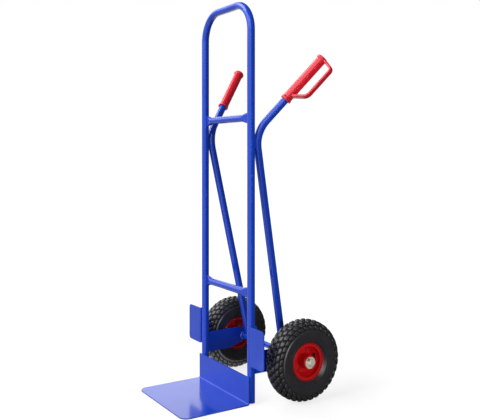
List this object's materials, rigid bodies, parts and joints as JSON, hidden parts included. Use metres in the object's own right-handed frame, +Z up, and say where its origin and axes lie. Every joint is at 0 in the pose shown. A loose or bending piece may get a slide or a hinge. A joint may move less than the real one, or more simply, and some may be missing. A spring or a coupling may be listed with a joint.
{
  "type": "hand truck",
  "caption": "Hand truck: tall bent-tube frame, fixed toe plate, splayed grips with knuckle guards, and pneumatic wheels that turn on a fixed axle.",
  "frame": {"origin": "on the floor, at the middle of the footprint's bounding box", "axes": "+X across the truck to the right as seen from the load side, +Y from the load side to the operator's side, +Z up"},
  "size_m": [0.5966, 0.534, 1.284],
  "materials": {
    "frame_paint": "glossy blue powder coat",
    "rim_paint": "glossy red enamel",
    "grip_plastic": "glossy moulded plastic",
    "tyre_rubber": "matt black rubber",
    "black_rubber": "satin black rubber",
    "black_plastic": "satin black plastic",
    "zinc_steel": "zinc plated",
    "bearing_steel": "ground steel"
  },
  "bodies": {
    "frame": {"frame_hoop": "frame_paint", "upper_crossbar": "frame_paint", "lower_crossbar": "frame_paint", "toe_plate": "frame_paint", "axle": "zinc_steel", "crossbar_welds": "frame_paint", "toe_plate_welds": "frame_paint", "guard_welds": "frame_paint", "bracket_welds": "frame_paint", "axle_welds": "frame_paint", "handle_welds": "frame_paint", "foot_welds": "frame_paint", "left_wheel_guard": "frame_paint", "left_axle_bracket": "frame_paint", "left_handle_tube": "frame_paint", "left_grip": "grip_plastic", "left_axle_spacer": "zinc_steel", "left_axle_washer": "zinc_steel", "left_split_pin": "bearing_steel", "left_inner_races": "bearing_steel", "right_wheel_guard": "frame_paint", "right_axle_bracket": "frame_paint", "right_handle_tube": "frame_paint", "right_grip": "grip_plastic", "right_axle_spacer": "zinc_steel", "right_axle_washer": "zinc_steel", "right_split_pin": "bearing_steel", "right_inner_races": "bearing_steel"},
    "left_wheel": {"left_outer_races": "bearing_steel", "left_bearing_seals": "black_rubber", "left_hub": "rim_paint", "left_rim_outer_half": "rim_paint", "left_rim_inner_half": "rim_paint", "left_rim_bolts": "rim_paint", "left_rim_nuts": "rim_paint", "left_inner_tube": "black_rubber", "left_valve_stem": "black_rubber", "left_valve_cap": "black_plastic", "left_tyre": "tyre_rubber"},
    "right_wheel": {"right_outer_races": "bearing_steel", "right_bearing_seals": "black_rubber", "right_hub": "rim_paint", "right_rim_outer_half": "rim_paint", "right_rim_inner_half": "rim_paint", "right_rim_bolts": "rim_paint", "right_rim_nuts": "rim_paint", "right_inner_tube": "black_rubber", "right_valve_stem": "black_rubber", "right_valve_cap": "black_plastic", "right_tyre": "tyre_rubber"},
    "left_bearing_cages": {"left_ball_cages": "zinc_steel", "left_bearing_balls": "bearing_steel"},
    "right_bearing_cages": {"right_ball_cages": "zinc_steel", "right_bearing_balls": "bearing_steel"}
  },
  "joints": [
    {"name": "left_wheel_spin", "type": "hinge", "parent": "frame", "child": "left_wheel", "pos_m": [-0.21, 0.137, 0.13], "axis": [1, 0, 0], "continuous": true},
    {"name": "left_cage_spin", "type": "hinge", "parent": "frame", "child": "left_bearing_cages", "pos_m": [-0.21, 0.137, 0.13], "axis": [1, 0, 0], "continuous": true},
    {"name": "right_wheel_spin", "type": "hinge", "parent": "frame", "child": "right_wheel", "pos_m": [0.21, 0.137, 0.13], "axis": [1, 0, 0], "continuous": true},
    {"name": "right_cage_spin", "type": "hinge", "parent": "frame", "child": "right_bearing_cages", "pos_m": [0.21, 0.137, 0.13], "axis": [1, 0, 0], "continuous": true}
  ],
  "couplings": [
    {"joint": "left_cage_spin", "follows": "left_wheel_spin", "ratio": 0.5965},
    {"joint": "right_cage_spin", "follows": "right_wheel_spin", "ratio": 0.5965}
  ]
}
